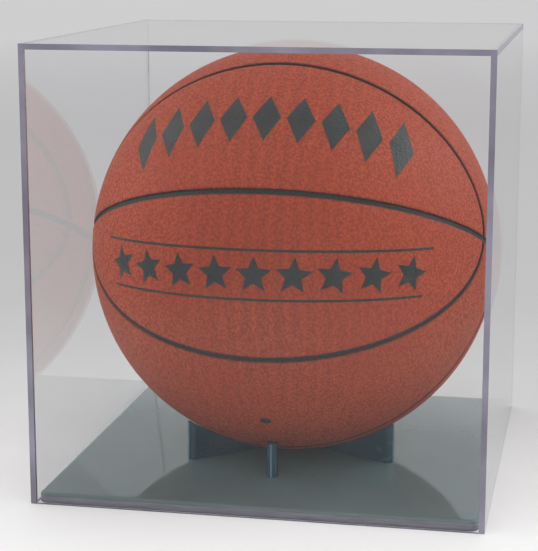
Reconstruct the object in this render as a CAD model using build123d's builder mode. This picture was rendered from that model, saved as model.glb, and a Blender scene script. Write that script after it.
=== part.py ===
from build123d import *
import os
from math import cos, degrees, radians, sin, tan

# Ball display case: a black base plate with a ring of low supports, a clear five-sided cover
# that lifts off, and the size 7 basketball that it holds.
# The origin is the centre of the footprint on the table. +Z is up and the front faces -Y.

# ---- driving dimensions, millimetres and degrees ----
ball_diameter = 243.0
ball_tilt = 24.7  # how far the front of the ball leans back
ball_rest_gap = 0.4  # running gap between the ball and the supports that carry it
ball_base_gap = 0.8  # ball to base plate, which the supports keep it clear of
side_room = 2.3  # ball to cover wall, left and right
depth_room = 2.3  # ball to cover wall, front and back
head_room = 4.0  # ball to cover top

sheet_thickness = 3.2  # clear acrylic sheet of the cover
base_thickness = 6.0  # black acrylic sheet of the base
base_edge_gap = 0.4  # base edge to cover wall, all round
base_corner_radius = 5.0
base_edge_radius = 2.0

support_thickness = 6.0
support_tip_radius = 72.5  # outer end of every support, from the centre
fin_length = 48.5  # long supports, along the radius
fin_height = 23.0  # at the nose, above the base
post_length = 9.0  # front and back supports, along the radius
post_height = 20.0
tab_depth = 3.2
tab_thickness = 3.2
tab_setback = 2.5  # end of a tab to the end of its support
tab_gap = 0.1  # tab to slot wall and to slot floor

panel_thickness = 1.2
carcass_thickness = 0.8
winding_thickness = 0.5
bladder_thickness = 0.6
seam_width = 3.0
oval_long_angle = 73.1  # from the middle of an oval to its far ends
oval_short_angle = 44.9  # from the middle of an oval to its sides
valve_angle = 68.3  # from the middle of the front oval, downwards
valve_diameter = 6.0
valve_recess = 0.3
valve_tail = 4.0  # how far the valve reaches in past the bladder
needle_hole_diameter = 1.6

# ---- sizes that follow ----
inner_width = ball_diameter + 2 * side_room
inner_depth = ball_diameter + 2 * depth_room
case_width = inner_width + 2 * sheet_thickness
case_depth = inner_depth + 2 * sheet_thickness
ball_radius = ball_diameter / 2
ball_height = base_thickness + ball_base_gap + ball_radius
wall_height = ball_height + ball_radius + head_room
base_width = inner_width - 2 * base_edge_gap
base_depth = inner_depth - 2 * base_edge_gap
carcass_radius = ball_radius - panel_thickness
winding_radius = carcass_radius - carcass_thickness
bladder_radius = winding_radius - winding_thickness
hollow_radius = bladder_radius - bladder_thickness

# Ball frame: +X along the ovals, -Y out of the middle of the front oval, +Z up the ball.
ball_frame = Plane(
    origin=(0, 0, ball_height),
    x_dir=(1, 0, 0),
    z_dir=(0, sin(radians(ball_tilt)), cos(radians(ball_tilt))),
)
valve_direction = ball_frame.y_dir * -cos(radians(valve_angle)) + ball_frame.z_dir * -sin(
    radians(valve_angle)
)
valve_frame = Plane(origin=(0, 0, ball_height), z_dir=valve_direction)

# name, direction from the centre in degrees, length along the radius, height of the nose
supports = [
    ("stand_fin_front_left", -139.5, fin_length, fin_height),
    ("stand_post_front", -90.0, post_length, post_height),
    ("stand_fin_front_right", -25.0, fin_length, fin_height),
    ("stand_fin_back_right", 40.5, fin_length, fin_height),
    ("stand_post_back", 90.0, post_length, post_height),
    ("stand_fin_back_left", 155.0, fin_length, fin_height),
]

os.makedirs("parts", exist_ok=True)


def save(piece, name):
    piece.part.label = name
    export_step(piece.part, f"parts/{name}.step")


def support_plane(angle):
    # on top of the base, with +X pointing outwards along the support
    direction = (cos(radians(angle)), sin(radians(angle)), 0)
    return Plane(origin=(0, 0, base_thickness), x_dir=direction, z_dir=(0, 0, 1))


# ---- base: a plate with a blind slot for the tab of each support ----
with BuildPart() as base_plate:
    with BuildSketch():
        RectangleRounded(base_width, base_depth, base_corner_radius)
    extrude(amount=base_thickness)
    fillet(base_plate.faces().sort_by(Axis.Z)[-1].edges(), base_edge_radius)
    for name, angle, length, height in supports:
        with BuildSketch(support_plane(angle)):
            with Locations((support_tip_radius - length / 2, 0)):
                Rectangle(
                    length - 2 * tab_setback + 2 * tab_gap,
                    tab_thickness + 2 * tab_gap,
                )
        extrude(amount=-(tab_depth + tab_gap), mode=Mode.SUBTRACT)
save(base_plate, "base_plate")


# ---- supports: upright fins and posts with round noses, hollowed on top to the ball ----
def make_support(name, angle, length, height):
    with BuildPart() as support:
        with BuildSketch(support_plane(angle)):
            with Locations((support_tip_radius - length / 2, 0)):
                SlotOverall(length, support_thickness)
        extrude(amount=height)
        with Locations((0, 0, ball_height)):
            Sphere(ball_radius + ball_rest_gap, mode=Mode.SUBTRACT)
        with BuildSketch(support_plane(angle)):
            with Locations((support_tip_radius - length / 2, 0)):
                Rectangle(length - 2 * tab_setback, tab_thickness)
        extrude(amount=-tab_depth)
    save(support, name)


for name, angle, length, height in supports:
    make_support(name, angle, length, height)


# ---- cover: four walls that stand on the table and a top bonded onto their upper edges ----
with BuildPart() as cover_top_panel:
    with BuildSketch(Plane.XY.offset(wall_height)):
        Rectangle(case_width, case_depth)
    extrude(amount=sheet_thickness)
save(cover_top_panel, "cover_top_panel")

for side, name in ((-1, "cover_left_panel"), (1, "cover_right_panel")):
    with BuildPart() as wall:
        with BuildSketch():
            with Locations((side * (inner_width + sheet_thickness) / 2, 0)):
                Rectangle(sheet_thickness, case_depth)
        extrude(amount=wall_height)
    save(wall, name)

for side, name in ((-1, "cover_front_panel"), (1, "cover_back_panel")):
    with BuildPart() as wall:
        with BuildSketch():
            with Locations((0, side * (inner_depth + sheet_thickness) / 2)):
                Rectangle(inner_width, sheet_thickness)
        extrude(amount=wall_height)
    save(wall, name)


# ---- ball: bladder, winding and carcass are shells one inside the other ----
def make_shell(name, outer_radius, inner_radius):
    with BuildPart() as shell:
        with Locations((0, 0, ball_height)):
            Sphere(outer_radius)
            Sphere(inner_radius, mode=Mode.SUBTRACT)
        with BuildSketch(valve_frame):
            Circle(valve_diameter / 2)
        extrude(amount=ball_radius, mode=Mode.SUBTRACT)
    save(shell, name)


make_shell("ball_carcass", carcass_radius, winding_radius)
make_shell("ball_winding", winding_radius, bladder_radius)
make_shell("ball_bladder", bladder_radius, hollow_radius)

# rubber plug with the needle hole down its axis
with BuildPart() as ball_valve:
    with BuildSketch(valve_frame.offset(hollow_radius - valve_tail)):
        Circle(valve_diameter / 2)
        Circle(needle_hole_diameter / 2, mode=Mode.SUBTRACT)
    extrude(amount=ball_radius - valve_recess - hollow_radius + valve_tail)
save(ball_valve, "ball_valve")


# Two great circles and two ovals part the skin into eight panels: each half of the ball, front
# and back, has an oval of two panels with a band of two panels round it.
half_seam_angle = degrees(seam_width / 2 / ball_radius)


def make_panel(name, front, upper, inside_oval):
    # front is 1 for the front half and -1 for the back, upper is 1 above the middle, -1 below
    with BuildPart(ball_frame) as panel:
        Sphere(ball_radius)
        Sphere(carcass_radius, mode=Mode.SUBTRACT)
        with Locations((0, -front * seam_width / 2, upper * seam_width / 2)):
            Box(
                ball_diameter,
                ball_radius,
                ball_radius,
                align=(
                    Align.CENTER,
                    Align.MAX if front > 0 else Align.MIN,
                    Align.MIN if upper > 0 else Align.MAX,
                ),
                mode=Mode.INTERSECT,
            )
        # elliptical cone from the middle of the ball out through one edge of the oval seam
        off_seam = -half_seam_angle if inside_oval else half_seam_angle
        long_slope = tan(radians(oval_long_angle + off_seam))
        short_slope = tan(radians(oval_short_angle + off_seam))
        outwards = ball_frame.y_dir * -front
        for reach in (ball_radius / 8, ball_radius):
            middle = ball_frame.origin + outwards * reach
            with BuildSketch(Plane(origin=middle, x_dir=(1, 0, 0), z_dir=outwards)):
                Ellipse(long_slope * reach, short_slope * reach)
        loft(ruled=True, mode=Mode.INTERSECT if inside_oval else Mode.SUBTRACT)
        if front > 0 and upper < 0 and not inside_oval:
            with BuildSketch(valve_frame):
                Circle(valve_diameter / 2)
            extrude(amount=ball_diameter, mode=Mode.SUBTRACT)
    save(panel, name)


for front, front_word in ((1, "front"), (-1, "back")):
    for upper, upper_word in ((1, "upper"), (-1, "lower")):
        make_panel(f"ball_oval_{front_word}_{upper_word}", front, upper, True)
        make_panel(f"ball_band_{front_word}_{upper_word}", front, upper, False)
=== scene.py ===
import math

import bmesh
import bpy
from mathutils import Matrix, Vector


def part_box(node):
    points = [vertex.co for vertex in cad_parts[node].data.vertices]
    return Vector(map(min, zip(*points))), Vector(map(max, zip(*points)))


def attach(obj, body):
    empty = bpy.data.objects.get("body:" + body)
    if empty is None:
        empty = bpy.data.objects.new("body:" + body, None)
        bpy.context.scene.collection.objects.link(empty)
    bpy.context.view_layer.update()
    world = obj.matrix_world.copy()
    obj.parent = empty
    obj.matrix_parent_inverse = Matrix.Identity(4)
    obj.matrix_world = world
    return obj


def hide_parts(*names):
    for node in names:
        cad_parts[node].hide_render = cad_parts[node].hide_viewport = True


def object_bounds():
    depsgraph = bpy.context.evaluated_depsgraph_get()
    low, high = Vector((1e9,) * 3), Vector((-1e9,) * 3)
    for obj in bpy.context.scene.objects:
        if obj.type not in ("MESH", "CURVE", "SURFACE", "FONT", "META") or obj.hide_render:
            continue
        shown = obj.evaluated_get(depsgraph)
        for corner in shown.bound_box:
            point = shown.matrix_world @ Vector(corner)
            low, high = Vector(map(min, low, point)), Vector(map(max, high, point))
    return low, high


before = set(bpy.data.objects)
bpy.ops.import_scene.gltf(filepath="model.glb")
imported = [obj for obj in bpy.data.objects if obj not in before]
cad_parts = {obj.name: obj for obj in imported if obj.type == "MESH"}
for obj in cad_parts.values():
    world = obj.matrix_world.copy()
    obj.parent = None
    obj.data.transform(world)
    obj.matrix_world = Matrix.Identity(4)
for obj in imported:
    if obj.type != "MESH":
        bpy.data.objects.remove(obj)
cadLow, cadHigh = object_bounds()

mm = 0.001
scene = bpy.context.scene
scene.view_settings.view_transform = "Standard"
print("stage: frame loaded,", len(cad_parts), "nodes")


# small helpers

def hexColour(code):
    channels = [int(code[i:i + 2], 16) / 255 for i in (1, 3, 5)]
    linear = [c / 12.92 if c <= 0.04045 else ((c + 0.055) / 1.055) ** 2.4 for c in channels]
    return (*linear, 1.0)


def addNode(tree, kind, settings=None, **inputs):
    # settings are the node's own properties, or the stops of a colour ramp; an input is a socket
    # to link or a value to set
    node = tree.nodes.new(kind)
    for name, value in (settings or {}).items():
        if name == "stops":
            for i, (position, code) in enumerate(value):
                ends = node.color_ramp.elements
                stop = ends[i] if i < 2 else ends.new(position)
                stop.position = position
                stop.color = hexColour(code)
        else:
            setattr(node, name, value)
    for name, value in inputs.items():
        key = int(name[1:]) if name[0] == "i" and name[1:].isdigit() else name.replace("_", " ")
        if isinstance(value, bpy.types.NodeSocket):
            tree.links.new(value, node.inputs[key])
        else:
            node.inputs[key].default_value = value
    return node


def newMaterial(name):
    material = bpy.data.materials.new(name)
    material.use_nodes = True
    tree = material.node_tree
    tree.nodes.clear()
    shader = addNode(tree, "ShaderNodeBsdfPrincipled")
    addNode(tree, "ShaderNodeOutputMaterial", Surface=shader.outputs[0])
    return material, tree, shader


def makeBlock(low, high):
    bm = bmesh.new()
    bmesh.ops.create_cube(bm, size=1.0)
    bmesh.ops.scale(bm, vec=high - low, verts=bm.verts)
    bmesh.ops.translate(bm, vec=(low + high) / 2, verts=bm.verts)
    return bm


def extrudeAll(bm):
    # gives a sheet a second layer where it lies, and returns the new layer's vertices
    grown = bmesh.ops.extrude_face_region(bm, geom=bm.faces[:], use_keep_orig=True)["geom"]
    return [g for g in grown if isinstance(g, bmesh.types.BMVert)]


def makePiece(name, bm, materials, body, stands=(), smooth=True, sharpAngle=35):
    bmesh.ops.remove_doubles(bm, verts=bm.verts, dist=1e-7)
    bmesh.ops.recalc_face_normals(bm, faces=bm.faces)
    for face in bm.faces:
        face.smooth = smooth
    for edge in bm.edges:
        if len(edge.link_faces) == 2:
            edge.smooth = edge.calc_face_angle(0) < math.radians(sharpAngle)
    mesh = bpy.data.meshes.new(name)
    bm.to_mesh(mesh)
    bm.free()
    piece = bpy.data.objects.new(name, mesh)
    scene.collection.objects.link(piece)
    for material in materials:
        mesh.materials.append(material)
    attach(piece, body)
    if stands:
        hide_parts(*stands)
    return piece


# materials

clearSheet = {
    "ior": 1.31,  # under the usual 1.49, so that what the front sheet mirrors stays faint
    "tint": "#bcb5c5",  # what a long path through the sheet leaves of white
    "density": 14.0,  # per metre
    "edge": ("#76717f", "#938e9f"),  # darkest and lightest
    "cornerEdge": ("#b4b0bb", "#c6c3cc"),  # painted light: a lighter copy of the edge for the two back corners, where more light comes out
}


def makeClearSheet():
    # cast acrylic, factory polished: clear across the sheet, with a trace of purple grey
    material, tree, shader = newMaterial("castAcrylicPolished")
    shader.inputs["Base Color"].default_value = hexColour("#ffffff")
    shader.inputs["IOR"].default_value = clearSheet["ior"]
    shader.inputs["Transmission Weight"].default_value = 1.0
    shader.inputs["Roughness"].default_value = 0.0
    absorb = addNode(tree, "ShaderNodeVolumeAbsorption", Color=hexColour(clearSheet["tint"]),
                     Density=clearSheet["density"])
    tree.links.new(absorb.outputs[0], tree.nodes["Material Output"].inputs["Volume"])
    return material


polish = {"toneSize": 35 * mm, "rippleSize": 2.5 * mm, "rippleHeight": 0.1 * mm}


def makePolishedEdge(name, darkCode, lightCode):
    # cut edge of the same sheet, flame polished: glossy purple grey, because light that runs
    # along the sheet comes out here, with slow changes of tone and faint ripples of the flame
    material, tree, shader = newMaterial(name)
    place = addNode(tree, "ShaderNodeTexCoord").outputs["Object"]
    tone = addNode(tree, "ShaderNodeTexNoise", Vector=place, Scale=1 / polish["toneSize"],
                   Detail=3.0)
    colour = addNode(tree, "ShaderNodeValToRGB", Fac=tone.outputs[0], settings={
        "stops": [(0.35, darkCode), (0.65, lightCode)]})
    tree.links.new(colour.outputs[0], shader.inputs["Base Color"])
    ripple = addNode(tree, "ShaderNodeTexNoise", Vector=place, Scale=1 / polish["rippleSize"],
                     Detail=1.0)
    bump = addNode(tree, "ShaderNodeBump", Height=ripple.outputs[0], Strength=0.2,
                   Distance=polish["rippleHeight"])
    tree.links.new(bump.outputs[0], shader.inputs["Normal"])
    shader.inputs["Roughness"].default_value = 0.22
    shader.inputs["IOR"].default_value = 1.49
    return material


baseFinish = {"face": "#506465", "worn": "#596c6d", "roughLow": 0.04, "roughHigh": 0.12}
standFinish = {"face": "#003342", "worn": "#04404f", "roughLow": 0.16, "roughHigh": 0.28}
handling = {"dust": "#8b9295", "dustApart": 9 * mm, "dustShare": 0.045, "smudgeSize": 45 * mm}


def makeBlackSheet(name, finish):
    # dark green-black cast acrylic, glossy, with faint handling smudges and a little dust
    material, tree, shader = newMaterial(name)
    place = addNode(tree, "ShaderNodeTexCoord").outputs["Object"]
    smudge = addNode(tree, "ShaderNodeTexNoise", Vector=place, Scale=1 / handling["smudgeSize"],
                     Detail=4.0, Roughness=0.6)
    dust = addNode(tree, "ShaderNodeTexVoronoi", Vector=place, Scale=1 / handling["dustApart"])
    specks = addNode(tree, "ShaderNodeMapRange", Value=dust.outputs["Distance"],
                     From_Min=handling["dustShare"] / 2, From_Max=handling["dustShare"],
                     To_Min=0.5, To_Max=0.0)
    colour = addNode(tree, "ShaderNodeValToRGB", Fac=smudge.outputs[0], settings={
        "stops": [(0.35, finish["face"]), (0.70, finish["worn"])]})
    dusty = addNode(tree, "ShaderNodeMix", {"data_type": "RGBA"}, i0=specks.outputs[0],
                    i6=colour.outputs[0], i7=hexColour(handling["dust"]))
    tree.links.new(dusty.outputs[2], shader.inputs["Base Color"])
    rough = addNode(tree, "ShaderNodeMapRange", Value=smudge.outputs[0], From_Min=0.35,
                    From_Max=0.70, To_Min=finish["roughLow"], To_Max=finish["roughHigh"])
    tree.links.new(rough.outputs[0], shader.inputs["Roughness"])
    shader.inputs["IOR"].default_value = 1.49
    return material


sawn = {
    "linesPerMetre": (60.0, 60.0, 2500.0),  # long along the cut, close together across it
    "lineDepth": 0.05 * mm,
    "base": ("#66656f", "#807f8b", 0.42),  # darkest, lightest, roughness
    # the supports' entry is a painted highlight down each nose, lighter than the faces
    "stand": ("#54626f", "#72818e", 0.38),
}


def makeSawnEdgeAndNoseHighlight(name, darkCode, lightCode, roughness):
    # sawn and scraped edge of the same sheet: fine lines along the cut, greyer and duller; on the
    # noses of the supports the lighter copy is a painted highlight
    material, tree, shader = newMaterial(name)
    place = addNode(tree, "ShaderNodeTexCoord").outputs["Object"]
    lines = addNode(tree, "ShaderNodeMapping", Vector=place, Scale=sawn["linesPerMetre"])
    grain = addNode(tree, "ShaderNodeTexNoise", Vector=lines.outputs[0], Scale=1.0, Detail=2.0)
    colour = addNode(tree, "ShaderNodeValToRGB", Fac=grain.outputs[0], settings={
        "stops": [(0.30, darkCode), (0.70, lightCode)]})
    tree.links.new(colour.outputs[0], shader.inputs["Base Color"])
    bump = addNode(tree, "ShaderNodeBump", Height=grain.outputs[0], Strength=0.25,
                   Distance=sawn["lineDepth"])
    tree.links.new(bump.outputs[0], shader.inputs["Normal"])
    shader.inputs["Roughness"].default_value = roughness
    shader.inputs["IOR"].default_value = 1.49
    return material


skin = {
    "thickness": 1.2 * mm,
    "pebbleSize": 1.5 * mm,
    "pebbleHeight": 0.2 * mm,
    # the groove colour is painted shade in the valleys between the pebbles
    "groove": "#963a20",
    "crown": "#b04627",
    "fade": "#b85435",
    "shoulder": "#3c221c",  # painted shade where a panel rolls down into a seam
    "shoulderStarts": 0.01 * mm,  # below the top of the skin
    "shoulderFull": 0.40 * mm,
    "patchSize": 60 * mm,
    "crownRoughness": 0.5,
    "grooveRoughness": 0.68,
}
ballLow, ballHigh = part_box("ball_carcass")
ballMiddle = (ballLow + ballHigh) / 2
carcassRadius = (ballHigh.x - ballLow.x) / 2
skinRadius = carcassRadius + skin["thickness"]


def pebbles(tree, place):
    # moulded pebble grain: round bumps of uneven size with narrow valleys between them
    wobble = addNode(tree, "ShaderNodeTexNoise", Vector=place, Scale=1 / (3 * skin["pebbleSize"]),
                     Detail=1.0)
    shift = addNode(tree, "ShaderNodeVectorMath", {"operation": "SCALE"},
                    Vector=wobble.outputs["Color"], Scale=0.5 * skin["pebbleSize"])
    moved = addNode(tree, "ShaderNodeVectorMath", {"operation": "ADD"}, i0=place,
                    i1=shift.outputs[0])
    cells = addNode(tree, "ShaderNodeTexVoronoi", {"feature": "SMOOTH_F1"},
                    Vector=moved.outputs[0], Scale=1 / skin["pebbleSize"], Smoothness=0.35)
    return addNode(tree, "ShaderNodeMapRange", {"interpolation_type": "SMOOTHSTEP"},
                   Value=cells.outputs["Distance"], From_Min=0.15, From_Max=0.75, To_Min=1.0,
                   To_Max=0.0).outputs[0]


def makePebbledSkin():
    # composite leather, moulded with a pebble grain: soft sheen on the crowns, painted shade in
    # the valleys and on the rolled edges down into the seams
    material, tree, shader = newMaterial("compositeLeatherPebbled")
    place = addNode(tree, "ShaderNodeTexCoord").outputs["Object"]
    height = pebbles(tree, place)
    patch = addNode(tree, "ShaderNodeTexNoise", Vector=place, Scale=1 / skin["patchSize"],
                    Detail=3.0)
    crown = addNode(tree, "ShaderNodeValToRGB", Fac=patch.outputs[0], settings={
        "stops": [(0.35, skin["crown"]), (0.75, skin["fade"])]})
    colour = addNode(tree, "ShaderNodeMix", {"data_type": "RGBA"}, i0=height,
                     i6=hexColour(skin["groove"]), i7=crown.outputs[0])
    # painted shade: the skin darkens towards the shoulder colour as the rolled edge drops into a
    # seam
    fromMiddle = addNode(tree, "ShaderNodeVectorMath", {"operation": "DISTANCE"}, i0=place,
                         i1=tuple(ballMiddle))
    seamShadeShare = addNode(tree, "ShaderNodeMapRange", Value=fromMiddle.outputs["Value"],
                     From_Min=skinRadius - skin["shoulderFull"],
                     From_Max=skinRadius - skin["shoulderStarts"], To_Min=0.9, To_Max=0.0)
    shaded = addNode(tree, "ShaderNodeMix", {"data_type": "RGBA"}, i0=seamShadeShare.outputs[0],
                     i6=colour.outputs[2], i7=hexColour(skin["shoulder"]))
    tree.links.new(shaded.outputs[2], shader.inputs["Base Color"])
    rough = addNode(tree, "ShaderNodeMapRange", Value=height, To_Min=skin["grooveRoughness"],
                    To_Max=skin["crownRoughness"])
    tree.links.new(rough.outputs[0], shader.inputs["Roughness"])
    bump = addNode(tree, "ShaderNodeBump", Height=height, Strength=0.7,
                   Distance=skin["pebbleHeight"])
    tree.links.new(bump.outputs[0], shader.inputs["Normal"])
    shader.inputs["IOR"].default_value = 1.34
    return material


printInk = {"fresh": "#101716", "worn": "#222b2a", "wearSize": 8 * mm, "roughness": 0.5}


def makePrintInk():
    # black ink printed over the same grain: the pebbles show through and rub bare in places
    material, tree, shader = newMaterial("printInkScreened")
    place = addNode(tree, "ShaderNodeTexCoord").outputs["Object"]
    height = pebbles(tree, place)
    wear = addNode(tree, "ShaderNodeTexNoise", Vector=place, Scale=1 / printInk["wearSize"],
                   Detail=5.0)
    colour = addNode(tree, "ShaderNodeValToRGB", Fac=wear.outputs[0], settings={
        "stops": [(0.35, printInk["fresh"]), (0.70, printInk["worn"])]})
    tree.links.new(colour.outputs[0], shader.inputs["Base Color"])
    bump = addNode(tree, "ShaderNodeBump", Height=height, Strength=0.7,
                   Distance=skin["pebbleHeight"])
    tree.links.new(bump.outputs[0], shader.inputs["Normal"])
    shader.inputs["Roughness"].default_value = printInk["roughness"]
    shader.inputs["IOR"].default_value = 1.5
    return material


rubber = {
    "grainDepth": 0.08 * mm,
    "seam": ("#0b100f", "#171d1c", 0.5 * mm, 0.6),  # darkest, lightest, grain size, roughness
    "valve": ("#141a19", "#232b29", 0.4 * mm, 0.45),
    "bladder": ("#151515", "#222222", 1.5 * mm, 0.6),
}


def makeRubber(name, lowCode, highCode, grainSize, roughness):
    # moulded rubber with a fine matte grain
    material, tree, shader = newMaterial(name)
    place = addNode(tree, "ShaderNodeTexCoord").outputs["Object"]
    grain = addNode(tree, "ShaderNodeTexNoise", Vector=place, Scale=1 / grainSize, Detail=3.0)
    colour = addNode(tree, "ShaderNodeValToRGB", Fac=grain.outputs[0], settings={
        "stops": [(0.3, lowCode), (0.7, highCode)]})
    tree.links.new(colour.outputs[0], shader.inputs["Base Color"])
    bump = addNode(tree, "ShaderNodeBump", Height=grain.outputs[0], Strength=0.4,
                   Distance=rubber["grainDepth"])
    tree.links.new(bump.outputs[0], shader.inputs["Normal"])
    shader.inputs["Roughness"].default_value = roughness
    shader.inputs["IOR"].default_value = 1.52
    return material


winding = {"dark": "#a8a090", "light": "#d8d2c2", "waveSize": 4 * mm, "roughness": 0.7}


def makeThread():
    # nylon thread wound round the bladder in crossing turns
    material, tree, shader = newMaterial("nylonThreadWound")
    place = addNode(tree, "ShaderNodeTexCoord").outputs["Object"]
    turned = addNode(tree, "ShaderNodeMapping", Vector=place, Rotation=(0.6, 0.9, 0.3))
    bands = addNode(tree, "ShaderNodeTexWave", Vector=turned.outputs[0],
                    Scale=1 / winding["waveSize"], Distortion=2.0)
    colour = addNode(tree, "ShaderNodeValToRGB", Fac=bands.outputs[0], settings={
        "stops": [(0.2, winding["dark"]), (0.8, winding["light"])]})
    tree.links.new(colour.outputs[0], shader.inputs["Base Color"])
    shader.inputs["Roughness"].default_value = winding["roughness"]
    return material


clear = makeClearSheet()
clearEdge = makePolishedEdge("castAcrylicEdgeFlamePolished", *clearSheet["edge"])
paintedLightCornerEdge = makePolishedEdge("castAcrylicEdgePaintedLight", *clearSheet["cornerEdge"])
blackFace = makeBlackSheet("castAcrylicBlackPolished", baseFinish)
standFace = makeBlackSheet("smokedAcrylicPolished", standFinish)
blackEdge = makeSawnEdgeAndNoseHighlight("castAcrylicBlackEdgeSawn", *sawn["base"])
standNosePaintedHighlight = makeSawnEdgeAndNoseHighlight("smokedAcrylicNosePaintedHighlight", *sawn["stand"])
pebbled = makePebbledSkin()
ink = makePrintInk()
seamRubber = makeRubber("butylRubberMoulded", *rubber["seam"])
valveRubber = makeRubber("valveRubberMoulded", *rubber["valve"])
bladderRubber = makeRubber("bladderRubberDipped", *rubber["bladder"])
thread = makeThread()
print("stage: materials made")


# cover: five sheets, bonded where they meet

cover = {
    "edgeBreak": 0.35 * mm,
    "edgeSteps": 2,
    "bondGap": 0.02 * mm,
    "near": 0.1 * mm,  # what lies this close to a side of the case is taken to be on it
}


def outerSides(point):
    # how many outer sides of the case a point lies on
    return sum(min(abs(point[i] - cadLow[i]), abs(point[i] - cadHigh[i])) < cover["near"]
               for i in range(3))


def makeSheet(name, node):
    low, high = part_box(node)
    thin = min(range(3), key=lambda i: high[i] - low[i])
    for i in range(3):  # ends that meet another sheet stop just short of it
        if i != thin and low[i] > cadLow[i] + cover["near"]:
            low[i] += cover["bondGap"]
        if i != thin and high[i] < cadHigh[i] - cover["near"]:
            high[i] -= cover["bondGap"]
    bm = makeBlock(low, high)
    free = [e for e in bm.edges if outerSides((e.verts[0].co + e.verts[1].co) / 2) == 2]
    bmesh.ops.bevel(bm, geom=free, offset=cover["edgeBreak"], affect="EDGES",
                    segments=cover["edgeSteps"], profile=0.5, material=-1)
    bm.normal_update()
    for face in bm.faces:
        middle = face.calc_center_median()
        behind = middle.y > cadHigh.y - cover["edgeBreak"] and middle.z < high.z - 1 * mm
        cornerEnd = (behind and thin == 0) or (thin == 1 and middle.y > 0
                                               and outerSides(middle) == 0)
        # the back corner ends take the lighter copy of the edge, which is painted light
        face.material_index = 2 if cornerEnd else 1
        if abs(face.normal[thin]) > 0.95:
            face.material_index = 0
    sheet = makePiece(name, bm, [clear, clearEdge, paintedLightCornerEdge], "cover", [node],
                      smooth=False)
    sheet.visible_shadow = False  # lamps shine through it onto the ball
    return sheet


for side in ("Top", "Front", "Back", "Left", "Right"):
    makeSheet(f"cover{side}", f"cover_{side.lower()}_panel")
print("stage: cover made")


# base plate

base = {"cornerRadius": 5.0 * mm, "edgeRadius": 2.0 * mm, "cornerSteps": 8, "edgeSteps": 4,
        "footBreak": 0.3 * mm}


def makeBase():
    low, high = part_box("base_plate")
    bm = makeBlock(low, high)
    upright = [e for e in bm.edges if abs(e.verts[0].co.z - e.verts[1].co.z) > 1 * mm]
    bmesh.ops.bevel(bm, geom=upright, offset=base["cornerRadius"], affect="EDGES",
                    segments=base["cornerSteps"], profile=0.5, material=-1)
    rim = [e for e in bm.edges if all(abs(v.co.z - high.z) < 1e-6 for v in e.verts)]
    bmesh.ops.bevel(bm, geom=rim, offset=base["edgeRadius"], affect="EDGES",
                    segments=base["edgeSteps"], profile=0.5, material=-1)
    foot = [e for e in bm.edges if all(abs(v.co.z - low.z) < 1e-6 for v in e.verts)]
    bmesh.ops.bevel(bm, geom=foot, offset=base["footBreak"], affect="EDGES", segments=1,
                    profile=0.5, material=-1)
    bm.normal_update()
    for face in bm.faces:
        face.material_index = 1 if abs(face.normal.z) < 0.1 else 0
    return makePiece("basePlate", bm, [blackFace, blackEdge], "base", ["base_plate"])


makeBase()
print("stage: base made")


# supports

support = {
    "thickness": 6.0 * mm,
    "tip": 72.5 * mm,  # from the centre to the outer end
    "finLength": 48.5 * mm,
    "postLength": 9.0 * mm,
    "flatShare": 0.12,  # part of the thickness that stays flat at the nose
    "along": 28,  # faces of the grid that the shape starts from
    "across": 12,
    "ballGap": 0.4 * mm,
    "highlightFacing": 0.99,  # faces that look outwards this squarely get the painted highlight down the nose
}


def makeSupport(name, node, degrees, length):
    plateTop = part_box("base_plate")[1].z
    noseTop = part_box(node)[1].z
    bm = bmesh.new()
    bmesh.ops.create_grid(bm, x_segments=support["along"], y_segments=support["across"],
                          size=1.0)
    half = support["thickness"] / 2
    flat = support["flatShare"]
    middle = support["tip"] - length / 2
    for vert in bm.verts:
        side = abs(vert.co.y)
        curl = max(0.0, (side - flat) / (1 - flat))
        pull = half * (1 - math.sqrt(max(0.0, 1 - curl * curl)))
        reach = middle + vert.co.x * (length / 2 - pull)
        vert.co = Vector((reach, vert.co.y * half, plateTop))
    hollow = skinRadius + support["ballGap"]
    for vert in extrudeAll(bm):
        fromAxis = math.hypot(vert.co.x, vert.co.y)
        vert.co.z = min(noseTop, ballMiddle.z - math.sqrt(hollow ** 2 - fromAxis ** 2))
    bmesh.ops.rotate(bm, matrix=Matrix.Rotation(math.radians(degrees), 3, "Z"),
                     verts=bm.verts)
    outwards = Vector((math.cos(math.radians(degrees)), math.sin(math.radians(degrees)), 0))
    bmesh.ops.recalc_face_normals(bm, faces=bm.faces)
    for face in bm.faces:
        # painted highlight: the nose faces take the lighter material
        face.material_index = 1 if face.normal.dot(outwards) > support["highlightFacing"] else 0
    return makePiece(name, bm, [standFace, standNosePaintedHighlight], "base", [node])


# ball

ball = {
    "tilt": 24.7,  # degrees that the front of the ball leans back
    "seam": 2.5 * mm,  # at the rolled lips, which lean in over the channel
    "longAngle": 73.1,  # from the middle of an oval to its far ends
    "shortAngle": 44.9,  # and to its sides
    "roll": 1.7 * mm,  # width of the rounded edge of a panel
    "rollDrop": 0.75 * mm,
    "ovalInset": 0.93,  # the middle row of an oval panel stops at this share of its length
    "along": 150,  # faces of a panel's grid
    "across": 52,
}
seamHalf = ball["seam"] / 2 / skinRadius  # radians
tilted = Matrix.Rotation(math.radians(-ball["tilt"]), 3, "X")


def ballPoint(u, v, w, radius):
    # u runs along the ovals, v up the ball, w out of the middle of the front oval
    return ballMiddle + tilted @ Vector((u, -w, v)) * radius


def keepOff(point, axis):
    # holds a direction at least half a seam away from the great circle across that axis
    if point[axis] >= math.sin(seamHalf):
        return point
    others = [i for i in range(3) if i != axis]
    size = math.hypot(point[others[0]], point[others[1]])
    share = math.cos(seamHalf) / size
    held = Vector((0, 0, 0))
    held[axis] = math.sin(seamHalf)
    for i in others:
        held[i] = point[i] * share
    return held


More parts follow.
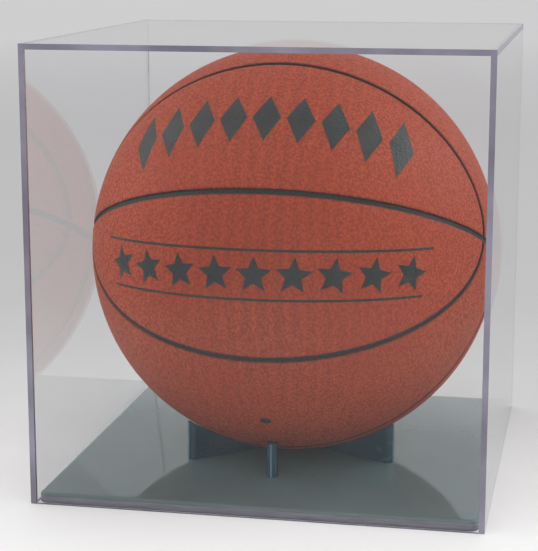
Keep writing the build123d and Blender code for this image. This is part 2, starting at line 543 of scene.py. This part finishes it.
def ovalSlopes(off=0.0):
    # half length and half width of the oval seam's cone at height 1, widened by off radians
    return (math.tan(math.radians(ball["longAngle"]) + off),
            math.tan(math.radians(ball["shortAngle"]) + off))


def ovalDirection(turn, off):
    longSlope, shortSlope = ovalSlopes(off)
    return Vector((longSlope * math.cos(turn), shortSlope * math.sin(turn), 1)).normalized()


def seamDistance(point):
    # radians from a direction in the front upper quarter to the middle of the nearest seam
    toMiddle = math.asin(min(1.0, abs(point.y)))
    toSide = math.asin(min(1.0, abs(point.z)))
    longSlope, shortSlope = ovalSlopes()
    a, b = point.x / longSlope, point.y / shortSlope
    level = math.hypot(a, b)
    slope = Vector((a / longSlope / max(level, 1e-9), b / shortSlope / max(level, 1e-9), -1))
    slope -= point * slope.dot(point)  # along the surface
    toOval = abs(level - point.z) / max(slope.length, 1e-9)
    return min(toMiddle, toSide, toOval)


def evenEnds(share):
    return 0.5 - 0.5 * math.cos(math.pi * share)  # closer rows at both ends


def makePanel(name, node, front, upper, insideOval):
    bm = bmesh.new()
    bmesh.ops.create_grid(bm, x_segments=ball["along"], y_segments=ball["across"], size=1.0)
    off = -seamHalf if insideOval else seamHalf
    longSlope, shortSlope = ovalSlopes(off)
    ovalStart = math.asin(math.sin(seamHalf) * math.hypot(longSlope, 1) / shortSlope)
    for vert in bm.verts:
        along = evenEnds((vert.co.x + 1) / 2)
        share = evenEnds((vert.co.y + 1) / 2)
        onOval = ovalDirection(ovalStart + (math.pi - 2 * ovalStart) * along, off)
        if insideOval:
            outer = onOval
            inset = ball["ovalInset"] * outer.x
            inner = Vector((inset, 0, math.sqrt(1 - inset ** 2)))
        else:
            turn = seamHalf + (math.pi - 2 * seamHalf) * along
            outer = Vector((math.cos(turn), math.sin(turn), 0))
            inner = onOval
        inner = keepOff(keepOff(inner, 1), 2)
        outer = keepOff(keepOff(outer, 2), 1)
        point = inner.slerp(outer, share)
        vert.co = keepOff(keepOff(point, 1), 2) * carcassRadius
    for vert in extrudeAll(bm):
        point = vert.co.normalized()
        inside = (seamDistance(point) - seamHalf) * skinRadius
        edge = min(1.0, max(0.0, 1 - inside / ball["roll"]))
        drop = ball["rollDrop"] * (1 - math.sqrt(1 - edge * edge))
        vert.co = point * (skinRadius - drop)
    for vert in bm.verts:
        size = vert.co.length
        point = vert.co / size
        vert.co = ballPoint(point.x, upper * point.y, front * point.z, size)
    if front > 0 and upper < 0 and not insideOval:
        bm = drillValveHole(bm)
    return makePiece(name, bm, [pebbled], "ball", [node], sharpAngle=50)


valve = {
    "angle": 68.3,  # from the middle of the front oval, downwards
    "hole": 3.3 * mm,  # radius of the hole through the panel
    "radius": 3.0 * mm,
    "rim": 0.7 * mm,
    "dish": 0.25 * mm,
    "needle": 0.8 * mm,  # radius of the needle hole
    "depth": 1.0 * mm,
    "below": 0.1 * mm,  # top of the rim to the top of the skin
    "chamfer": 0.15 * mm,
    "drillDepth": 8 * mm,
    "steps": 40,
}


def placeOnValve(bm):
    # stands a shape made about the Z axis on the valve's axis, at the skin
    low = math.radians(valve["angle"])
    middle = ballPoint(0, -math.sin(low), math.cos(low), skinRadius)
    outwards = (middle - ballMiddle).normalized()
    bmesh.ops.transform(bm, verts=bm.verts,
                        matrix=outwards.to_track_quat("Z", "Y").to_matrix().to_4x4())
    bmesh.ops.translate(bm, verts=bm.verts, vec=middle)


def drillValveHole(bm):
    panel = bpy.data.meshes.new("panelWhole")
    bmesh.ops.recalc_face_normals(bm, faces=bm.faces)
    bm.to_mesh(panel)
    bm.free()
    drill = bmesh.new()
    bmesh.ops.create_cone(drill, cap_ends=True, segments=valve["steps"], radius1=valve["hole"],
                          radius2=valve["hole"], depth=valve["drillDepth"])
    placeOnValve(drill)
    drillMesh = bpy.data.meshes.new("valveDrill")
    drill.to_mesh(drillMesh)
    drill.free()
    whole = bpy.data.objects.new("panelWhole", panel)
    cutter = bpy.data.objects.new("valveDrill", drillMesh)
    scene.collection.objects.link(whole)
    scene.collection.objects.link(cutter)
    cut = whole.modifiers.new("valveHole", "BOOLEAN")
    cut.operation = "DIFFERENCE"
    cut.object = cutter
    drilled = bmesh.new()
    drilled.from_object(whole, bpy.context.evaluated_depsgraph_get())
    for thing in (whole, cutter):
        bpy.data.objects.remove(thing)
    return drilled


def makeValve():
    # moulded plug: a rounded rim, a shallow dish and the needle hole down the middle
    rim, top = valve["rim"], -valve["below"]
    outer, dish = valve["radius"], -valve["below"] - valve["dish"]
    needle, chamfer = valve["needle"], valve["chamfer"]
    profile = [(needle, -valve["depth"]), (needle, dish - chamfer),
               (needle + chamfer, dish), (outer - 1.6 * rim, dish),
               (outer - rim, top - 0.05 * mm), (outer - rim / 2, top),
               (outer - 0.1 * rim, top - 0.1 * mm), (outer, top - 0.3 * mm),
               (outer, -valve["depth"])]
    bm = bmesh.new()
    ring = [bm.verts.new((x, 0, z)) for x, z in profile]
    for i, vert in enumerate(ring):
        bm.edges.new((vert, ring[(i + 1) % len(ring)]))
    bmesh.ops.spin(bm, geom=bm.verts[:] + bm.edges[:], cent=(0, 0, 0), axis=(0, 0, 1),
                   angle=math.tau, steps=valve["steps"], use_merge=True)
    placeOnValve(bm)
    return makePiece("ballValve", bm, [valveRubber], "ball", ["ball_valve"],
                     sharpAngle=60)


for front, frontWord in ((1, "Front"), (-1, "Back")):
    for upper, upperWord in ((1, "Upper"), (-1, "Lower")):
        place = f"{frontWord}{upperWord}"
        nodePlace = f"{frontWord}_{upperWord}".lower()
        makePanel(f"ballOval{place}", f"ball_oval_{nodePlace}", front, upper, True)
        makePanel(f"ballBand{place}", f"ball_band_{nodePlace}", front, upper, False)
makeValve()
print("stage: ball panels and valve made")

for name, node, degrees, length in (
    ("supportFrontLeft", "stand_fin_front_left", -139.5, support["finLength"]),
    ("supportFront", "stand_post_front", -90.0, support["postLength"]),
    ("supportFrontRight", "stand_fin_front_right", -25.0, support["finLength"]),
    ("supportBackRight", "stand_fin_back_right", 40.5, support["finLength"]),
    ("supportBack", "stand_post_back", 90.0, support["postLength"]),
    ("supportBackLeft", "stand_fin_back_left", 155.0, support["finLength"]),
):
    makeSupport(name, node, degrees, length)
print("stage: supports made")

for node, material in (("ball_carcass", seamRubber), ("ball_winding", thread),
                       ("ball_bladder", bladderRubber)):
    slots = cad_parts[node].data.materials
    slots.clear()
    slots.append(material)


# prints on the front of the ball: an arch of lozenges, and a row of stars between two lines

prints = {
    "lift": 0.02 * mm,
    "ink": 0.05 * mm,
    "lozengeCount": 9,
    "archSpan": 77.0,  # degrees from the first lozenge to the last
    "archMiddle": 21.5,  # latitude above the middle seam
    "archEnds": 17.0,
    "lozengeWidth": 16 * mm,
    "middleHeight": 32 * mm,
    "endHeight": 40 * mm,
    "lean": 14.0,  # degrees that the outer lozenges turn
    "starCount": 9,
    "rowSpan": 88.0,
    "rowMiddle": -21.5,  # latitude of the row of stars
    "rowEnds": -16.0,
    "starRadius": 10.5 * mm,
    "starWaist": 0.45,
    "lineSpan": 100.0,
    "lineWidth": 1.4 * mm,
    "lineOffset": 13.5 * mm,  # from the middle of the row
}


def onBall(longitude, latitude, turned, flatX, flatY):
    # a flat point in metres, laid on the ball about a direction given in degrees
    c, s = math.cos(math.radians(turned)), math.sin(math.radians(turned))
    x, y = flatX * c - flatY * s, flatX * s + flatY * c
    radius = skinRadius + prints["lift"]
    reach = math.hypot(x, y)
    spread = reach / radius
    local = Vector((0, 0, 1))
    if reach > 1e-9:
        local = Vector((x / reach * math.sin(spread), y / reach * math.sin(spread),
                        math.cos(spread)))
    lifted = Matrix.Rotation(-math.radians(latitude), 3, "X") @ local
    aimed = Matrix.Rotation(math.radians(longitude), 3, "Y") @ lifted
    return ballPoint(aimed.x, aimed.y, aimed.z, radius)


def starShape(radius, waist, points=5):
    bm = bmesh.new()
    bmesh.ops.create_circle(bm, cap_ends=True, cap_tris=True, segments=points * 2,
                            radius=radius)
    for vert in bm.verts:
        step = round(math.atan2(vert.co.x, vert.co.y) / math.pi * points)
        if step % 2 and vert.co.length > radius / 2:
            vert.co *= waist
    bmesh.ops.subdivide_edges(bm, edges=bm.edges[:], cuts=4, use_grid_fill=True)
    return bm


def lozengeShape(width, height):
    bm = bmesh.new()
    bmesh.ops.create_circle(bm, cap_ends=True, cap_tris=True, segments=4, radius=0.5)
    bmesh.ops.scale(bm, vec=(width, height, 1), verts=bm.verts)
    bmesh.ops.subdivide_edges(bm, edges=bm.edges[:], cuts=8, use_grid_fill=True)
    return bm


def layPrint(whole, shape, longitude, latitude, turned):
    for vert in shape.verts:
        vert.co = onBall(longitude, latitude, turned, vert.co.x, vert.co.y)
    printed = bpy.data.meshes.new("printed")
    shape.to_mesh(printed)
    shape.free()
    whole.from_mesh(printed)
    bpy.data.meshes.remove(printed)


def rowLatitude(longitude):
    # the row bows down in the middle, so that it looks level from in front
    share = longitude / (prints["rowSpan"] / 2)
    return prints["rowMiddle"] + (prints["rowEnds"] - prints["rowMiddle"]) * share * share


def layLine(whole, offset):
    # a line beside the row, so its length is laid out in degrees
    bmesh.ops.create_grid(whole, x_segments=60, y_segments=1, size=0.5)
    for vert in whole.verts:
        if abs(vert.co.z) < 1e-9:
            longitude = vert.co.x * prints["lineSpan"]
            vert.co = onBall(longitude, rowLatitude(longitude), 0, 0,
                             offset + vert.co.y * prints["lineWidth"])


def makePrints():
    whole = bmesh.new()
    for offset in (-prints["lineOffset"], prints["lineOffset"]):
        layLine(whole, offset)
    for i in range(prints["lozengeCount"]):
        share = i / (prints["lozengeCount"] - 1) * 2 - 1
        sag = share * share
        height = prints["middleHeight"] + (prints["endHeight"] - prints["middleHeight"]) * sag
        latitude = prints["archMiddle"] + (prints["archEnds"] - prints["archMiddle"]) * sag
        layPrint(whole, lozengeShape(prints["lozengeWidth"], height),
                 share * prints["archSpan"] / 2, latitude, -prints["lean"] * share)
    for i in range(prints["starCount"]):
        longitude = (i / (prints["starCount"] - 1) - 0.5) * prints["rowSpan"]
        layPrint(whole, starShape(prints["starRadius"], prints["starWaist"]), longitude,
                 rowLatitude(longitude), 0)
    for vert in extrudeAll(whole):
        vert.co += (vert.co - ballMiddle).normalized() * prints["ink"]
    return makePiece("ballPrints", whole, [ink], "ball")


makePrints()
print("stage: prints made")


# stage, light and camera

stage = {
    "floorRadius": 9.0,
    "lightPoolMiddle": (0, -0.30, 0),  # middle of a painted pool of light: the floor is whitest here, just in front of the case
    # painted light: the floor's tone set by distance from that middle
    "lightPoolTones": [(0.20, "#fafafa"), (0.32, "#f4f4f4"), (0.45, "#d4d4d4"), (0.58, "#c3c3c3"),
                   (0.75, "#b9b9ba"), (1.0, "#b6b6b7"), (2.0, "#bababb"), (4.5, "#d4d4d5")],
    "world": [(0.50, "#d0d0d1"), (0.62, "#d2d2d3"), (0.80, "#ffffff")],  # horizon to overhead
    "worldStrength": 0.97,
    "softboxes": [  # name, place, size, watts
        ("leftSoftbox", (-1.70, -0.30, 1.15), (1.3, 1.3), 6.5),
        ("rightSoftbox", (1.65, 0.60, 1.20), (1.3, 1.3), 10.0),
        ("frontSoftbox", (0.30, -1.85, 0.55), (1.6, 0.8), 2.6),
    ],
}


def makeFloor():
    bm = bmesh.new()
    bmesh.ops.create_circle(bm, cap_ends=True, segments=96, radius=stage["floorRadius"])
    bmesh.ops.translate(bm, vec=(0, 0, cadLow.z - 0.05 * mm), verts=bm.verts)
    mesh = bpy.data.meshes.new("floor")
    bm.to_mesh(mesh)
    bm.free()
    floor = bpy.data.objects.new("floor", mesh)
    scene.collection.objects.link(floor)
    # matte painted board, with a painted pool of light whitest in front of the case
    material, tree, shader = newMaterial("boardMattePaintedLightPool")
    place = addNode(tree, "ShaderNodeTexCoord").outputs["Object"]
    reach = addNode(tree, "ShaderNodeVectorMath", {"operation": "DISTANCE"}, i0=place,
                    i1=stage["lightPoolMiddle"])
    share = addNode(tree, "ShaderNodeMath", {"operation": "DIVIDE"},
                    i0=reach.outputs["Value"], i1=stage["floorRadius"])
    colour = addNode(tree, "ShaderNodeValToRGB", Fac=share.outputs[0], settings={
        "stops": [(metres / stage["floorRadius"], code)
                  for metres, code in stage["lightPoolTones"]]})
    tree.links.new(colour.outputs[0], shader.inputs["Base Color"])
    shader.inputs["Roughness"].default_value = 0.8
    mesh.materials.append(material)


def addLight(name, place, aim, size, power):
    lamp = bpy.data.lights.new(name, "AREA")
    lamp.shape = "RECTANGLE"
    lamp.size, lamp.size_y = size
    lamp.energy = power
    holder = bpy.data.objects.new(name, lamp)
    holder.location = place
    holder.rotation_euler = (Vector(place) - Vector(aim)).to_track_quat("Z", "Y").to_euler()
    scene.collection.objects.link(holder)


def makeStage():
    makeFloor()
    world = bpy.data.worlds.new("studio")
    world.use_nodes = True
    background = world.node_tree.nodes["Background"]
    aim = addNode(world.node_tree, "ShaderNodeTexCoord").outputs["Generated"]
    parts = addNode(world.node_tree, "ShaderNodeSeparateXYZ", Vector=aim)
    height = addNode(world.node_tree, "ShaderNodeMapRange", Value=parts.outputs["Z"],
                     From_Min=-1.0, From_Max=1.0)
    tone = addNode(world.node_tree, "ShaderNodeValToRGB", Fac=height.outputs[0],
                   settings={"stops": stage["world"]})
    world.node_tree.links.new(tone.outputs[0], background.inputs[0])
    background.inputs[1].default_value = stage["worldStrength"]
    scene.world = world
    for name, place, size, power in stage["softboxes"]:
        addLight(name, place, ballMiddle, size, power)


camera = {
    "place": (0.18197, -0.98778, 0.31497),
    "yaw": 11.32,
    "pitch": 11.50,
    "lens": 110.23,
}


def makeCamera():
    data = bpy.data.cameras.new("camera")
    data.sensor_width = 36.0
    data.lens = camera["lens"]
    holder = bpy.data.objects.new("camera", data)
    holder.location = camera["place"]
    holder.rotation_euler = (math.radians(90 - camera["pitch"]), 0,
                             math.radians(camera["yaw"]))
    scene.collection.objects.link(holder)
    scene.camera = holder


makeStage()
makeCamera()
print("stage: stage, lights and camera made")
